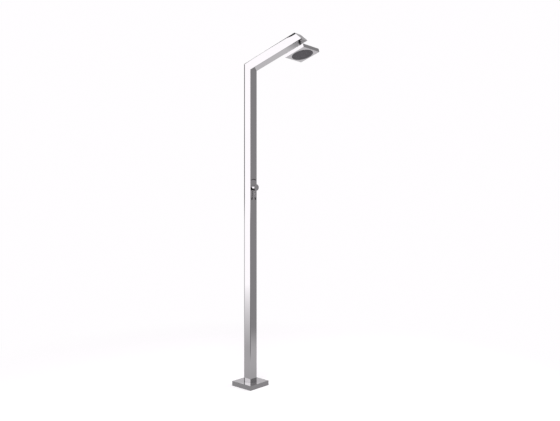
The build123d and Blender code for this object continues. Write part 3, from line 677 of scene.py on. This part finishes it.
# ---- nozzle mat ----
# Soft silicone nozzles in rings round a middle one, on a thin mat behind the disc. The
# geometry nodes place one turned nozzle at each point and lay the mat behind them.
spin = next(joint for joint in frame["record"]["behaviour"]["joints"] if joint["name"] == "head_spin")
ball_centre = Vector(spin["pos_m"])
head_up = Vector(spin["axis"])
head_across = Vector((1, 0, 0))
disc_depth = 0.051            # ball's centre to the outside of the nozzle disc
mat_depth = 0.0045            # outside of the nozzle disc to the mat
mat_thickness = 0.0015
mat_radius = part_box("nozzle_mat")[1][0]
nozzle_margin = 0.005         # outermost ring to the edge of the mat
nozzle_rings = 5
nozzle_pitch = (mat_radius - nozzle_margin) / nozzle_rings
root_radius = 0.0016
tip_radius = 0.00105
bore_radius = 0.00045
bore_end_radius = 0.6 * bore_radius
bore_end_depth = 0.0004
proud = 0.0011                # tip beyond the outside of the disc
lip_height = 0.00015          # round rim of the tip
round_steps = 6
nozzle_sides = 20
mat_sides = 96

# half of a nozzle's section, from its root on the mat over the tip into the bore
profile = [(root_radius, mat_depth), (root_radius, 0.0)]
for step in range(1, round_steps + 1):
    share = step / round_steps
    radius = root_radius + (tip_radius - root_radius) * math.sin(share * math.pi / 2)
    profile.append((radius, -share * (proud - lip_height)))
half_lip = (tip_radius - bore_radius) / 2
for step in range(1, round_steps + 1):
    turn = math.pi * step / round_steps
    radius = bore_radius + half_lip + half_lip * math.cos(turn)
    profile.append((radius, lip_height - proud - lip_height * math.sin(turn)))
profile.append((bore_radius, 0.0))
profile.append((bore_end_radius, bore_end_depth))
nozzle_bmesh = bmesh.new()
turns = [math.tau * side / nozzle_sides for side in range(nozzle_sides)]
loops = []
for radius, height in profile:
    circle = [(radius * math.cos(turn), radius * math.sin(turn), height) for turn in turns]
    loops.append([nozzle_bmesh.verts.new(corner) for corner in circle])
for loop, following in zip(loops, loops[1:]):
    for side in range(nozzle_sides):
        after = (side + 1) % nozzle_sides
        nozzle_bmesh.faces.new((loop[side], following[side], following[after], loop[after]))
nozzle_bmesh.faces.new(loops[-1])
bmesh.ops.recalc_face_normals(nozzle_bmesh, faces=nozzle_bmesh.faces)
for face in nozzle_bmesh.faces:
    face.smooth = True
nozzle_mesh = bpy.data.meshes.new("one_nozzle")
nozzle_bmesh.to_mesh(nozzle_mesh)
nozzle_bmesh.free()
one_nozzle = bpy.data.objects.new("one_nozzle", nozzle_mesh)

silicone = rubber("grey_silicone_skin", (0.085, 0.08, 0.09), 0.15)
group = bpy.data.node_groups.new("nozzle_rings", "GeometryNodeTree")
group.interface.new_socket("Geometry", in_out="OUTPUT", socket_type="NodeSocketGeometry")
sizes = []
for name, kind, value in (
    ("Nozzle", "NodeSocketObject", one_nozzle),
    ("Rings", "NodeSocketInt", nozzle_rings),
    ("Pitch", "NodeSocketFloat", nozzle_pitch),
    ("Mat Radius", "NodeSocketFloat", mat_radius),
    ("Mat Thickness", "NodeSocketFloat", mat_thickness),
    ("Mat Depth", "NodeSocketFloat", mat_depth),
    ("Skin", "NodeSocketMaterial", silicone),
):
    sizes.append((group.interface.new_socket(name, in_out="INPUT", socket_type=kind), value))
tree = Tree(group)
given = {socket.name: socket for socket in tree.node("NodeGroupInput").outputs}
rings = given["Rings"]

# Point 0 is the middle one and ring r holds 6 r points, so that its last is point 3 r (r + 1).
# Solved for r and rounded up, that gives a point's ring.
rounding = 0.001
count = tree.math("ADD", tree.product(rings, tree.math("ADD", rings, 1), 3), 1)
points = tree.node("GeometryNodePoints")
tree.feed(points.inputs["Count"], count)
number = tree.node("GeometryNodeInputIndex").outputs[0]
root = tree.math("SQRT", tree.math("ADD", tree.product(number, 12), 9))
ring = tree.math("CEIL", tree.math("DIVIDE", tree.math("SUBTRACT", root, 3 + rounding), 6))
filled = tree.product(ring, tree.math("SUBTRACT", ring, 1), 3)
position = tree.math("SUBTRACT", tree.math("SUBTRACT", number, filled), 1)
per_ring = tree.math("MAXIMUM", tree.product(ring, 6), 1)
angle = tree.product(tree.math("DIVIDE", position, per_ring), math.tau)
reach = tree.product(ring, given["Pitch"])
spot = tree.node("ShaderNodeCombineXYZ")
tree.feed(spot.inputs[0], tree.product(reach, tree.math("COSINE", angle)))
tree.feed(spot.inputs[1], tree.product(reach, tree.math("SINE", angle)))
tree.feed(points.inputs["Position"], spot.outputs[0])
source = tree.node("GeometryNodeObjectInfo")
tree.feed(source.inputs["Object"], given["Nozzle"])
placed = tree.node("GeometryNodeInstanceOnPoints")
tree.feed(placed.inputs["Points"], points.outputs[0])
tree.feed(placed.inputs["Instance"], source.outputs["Geometry"])
mat = tree.node("GeometryNodeMeshCylinder")
mat.inputs["Vertices"].default_value = mat_sides
tree.feed(mat.inputs["Radius"], given["Mat Radius"])
tree.feed(mat.inputs["Depth"], given["Mat Thickness"])
lift = tree.node("ShaderNodeCombineXYZ")
half_mat = tree.math("MULTIPLY", given["Mat Thickness"], 0.5)
tree.feed(lift.inputs[2], tree.math("ADD", given["Mat Depth"], half_mat))
raised = tree.node("GeometryNodeTransform")
tree.feed(raised.inputs["Geometry"], mat.outputs["Mesh"])
tree.feed(raised.inputs["Translation"], lift.outputs[0])
joined = tree.node("GeometryNodeJoinGeometry")
tree.feed(joined.inputs[0], placed.outputs[0])
tree.feed(joined.inputs[0], raised.outputs[0])
plain = tree.node("GeometryNodeRealizeInstances")
tree.feed(plain.inputs[0], joined.outputs[0])
skinned = tree.node("GeometryNodeSetMaterial")
tree.feed(skinned.inputs["Geometry"], plain.outputs[0])
tree.feed(skinned.inputs["Material"], given["Skin"])
tree.feed(tree.node("NodeGroupOutput").inputs[0], skinned.outputs[0])

pattern = bpy.data.objects.new("nozzle_pattern", bpy.data.meshes.new("nozzle_pattern"))
bpy.context.scene.collection.objects.link(pattern)
modifier = pattern.modifiers.new("rings", "NODES")
modifier.node_group = group
for socket, value in sizes:
    modifier[socket.identifier] = value
graph = bpy.context.evaluated_depsgraph_get()
mat_mesh = bpy.data.meshes.new_from_object(pattern.evaluated_get(graph))
mat_mesh.name = "soft_nozzle_mat"
bpy.data.objects.remove(pattern)
turned = Matrix((head_across, head_up.cross(head_across), head_up)).transposed().to_4x4()
mat_mesh.transform(Matrix.Translation(ball_centre - disc_depth * head_up) @ turned)
soft_nozzles = bpy.data.objects.new("soft_nozzle_mat", mat_mesh)
bpy.context.scene.collection.objects.link(soft_nozzles)
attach(soft_nozzles, "head")
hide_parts("nozzle_mat")
